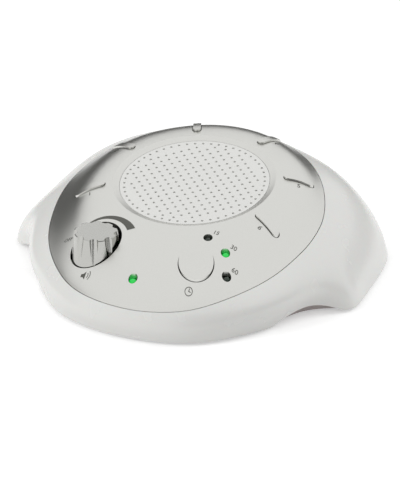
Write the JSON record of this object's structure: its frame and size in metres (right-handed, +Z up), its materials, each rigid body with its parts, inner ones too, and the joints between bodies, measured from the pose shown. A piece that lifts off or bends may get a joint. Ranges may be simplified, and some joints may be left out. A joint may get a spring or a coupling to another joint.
{
  "type": "white noise sound machine",
  "caption": "Table-top white noise sound machine: domed white shell with two wings, silver control plate, round speaker grille, sprung buttons, volume knob and battery bay.",
  "frame": {"origin": "on the table under the middle of the footprint", "axes": "+Z up, -Y towards the front where the volume knob and timer are, +X to the right seen from the front"},
  "size_m": [0.1666, 0.1486, 0.0477],
  "materials": {
    "white_shell": "glossy moulded ABS",
    "base_plastic": "fine-textured moulded ABS",
    "silver_plate": "satin silver paint under clear lacquer",
    "white_grille": "satin moulded ABS",
    "gasket_foam": "closed-cell foam",
    "pressed_steel": "pressed and plated",
    "ferrite": "sintered ferrite",
    "cone_paper": "doped paper",
    "zinc_screw": "zinc plated",
    "switch_black": "moulded",
    "lamp_lit": "lit green epoxy lens",
    "lamp_dark": "unlit green epoxy lens",
    "board_green": "solder mask on fibreglass",
    "nickel_contact": "nickel plated",
    "foot_rubber": "moulded",
    "wire_jacket": "insulation",
    "silver_knob": "satin silver paint",
    "silver_button": "satin silver paint"
  },
  "bodies": {
    "housing": {"upper_housing": "white_shell", "lower_housing": "base_plastic", "face_plate": "silver_plate", "speaker_grille": "white_grille", "speaker_gasket": "gasket_foam", "speaker_basket": "pressed_steel", "speaker_magnet": "ferrite", "speaker_cone": "cone_paper", "speaker_surround": "gasket_foam", "speaker_screws": "zinc_screw", "button_switches": "switch_black", "potentiometer_body": "pressed_steel", "power_led": "lamp_lit", "timer_led_15": "lamp_dark", "timer_led_30": "lamp_lit", "timer_led_60": "lamp_dark", "led_spacers": "switch_black", "control_board": "board_green", "board_screws": "zinc_screw", "board_components": "switch_black", "battery_contacts": "nickel_contact", "battery_springs": "nickel_contact", "housing_screws": "zinc_screw", "rubber_feet": "foot_rubber", "dc_jack": "switch_black", "speaker_leads": "wire_jacket", "battery_leads": "wire_jacket", "jack_leads": "wire_jacket"},
    "knob": {"volume_knob": "silver_knob", "potentiometer_shaft": "nickel_contact"},
    "timer": {"timer_button": "silver_button"},
    "door": {"battery_door": "base_plastic"},
    "button_1": {"sound_button_1": "silver_button"},
    "button_2": {"sound_button_2": "silver_button"},
    "button_3": {"sound_button_3": "silver_button"},
    "button_4": {"sound_button_4": "silver_button"},
    "button_5": {"sound_button_5": "silver_button"},
    "button_6": {"sound_button_6": "silver_button"}
  },
  "joints": [
    {"name": "volume_turn", "type": "hinge", "parent": "housing", "child": "knob", "pos_m": [-0.024, -0.0485, 0.03], "axis": [0, 0, -1], "range_deg": [-40, 260]},
    {"name": "timer_press", "type": "slide", "parent": "housing", "child": "timer", "axis": [0, 0, -1], "range_m": [0, 0.0008], "stiffness_N_per_m": 600, "springref_m": -0.0004},
    {"name": "sound_press_1", "type": "slide", "parent": "housing", "child": "button_1", "axis": [0, 0, -1], "range_m": [0, 0.0008], "stiffness_N_per_m": 600, "springref_m": -0.0004},
    {"name": "sound_press_2", "type": "slide", "parent": "housing", "child": "button_2", "axis": [0, 0, -1], "range_m": [0, 0.0008], "stiffness_N_per_m": 600, "springref_m": -0.0004},
    {"name": "sound_press_3", "type": "slide", "parent": "housing", "child": "button_3", "axis": [0, 0, -1], "range_m": [0, 0.0008], "stiffness_N_per_m": 600, "springref_m": -0.0004},
    {"name": "sound_press_4", "type": "slide", "parent": "housing", "child": "button_4", "axis": [0, 0, -1], "range_m": [0, 0.0008], "stiffness_N_per_m": 600, "springref_m": -0.0004},
    {"name": "sound_press_5", "type": "slide", "parent": "housing", "child": "button_5", "axis": [0, 0, -1], "range_m": [0, 0.0008], "stiffness_N_per_m": 600, "springref_m": -0.0004},
    {"name": "sound_press_6", "type": "slide", "parent": "housing", "child": "button_6", "axis": [0, 0, -1], "range_m": [0, 0.0008], "stiffness_N_per_m": 600, "springref_m": -0.0004},
    {"name": "battery_door_swing", "type": "hinge", "parent": "housing", "child": "door", "pos_m": [0, -0.02135, 0.00235], "axis": [-1, 0, 0], "range_deg": [0, 85]}
  ]
}
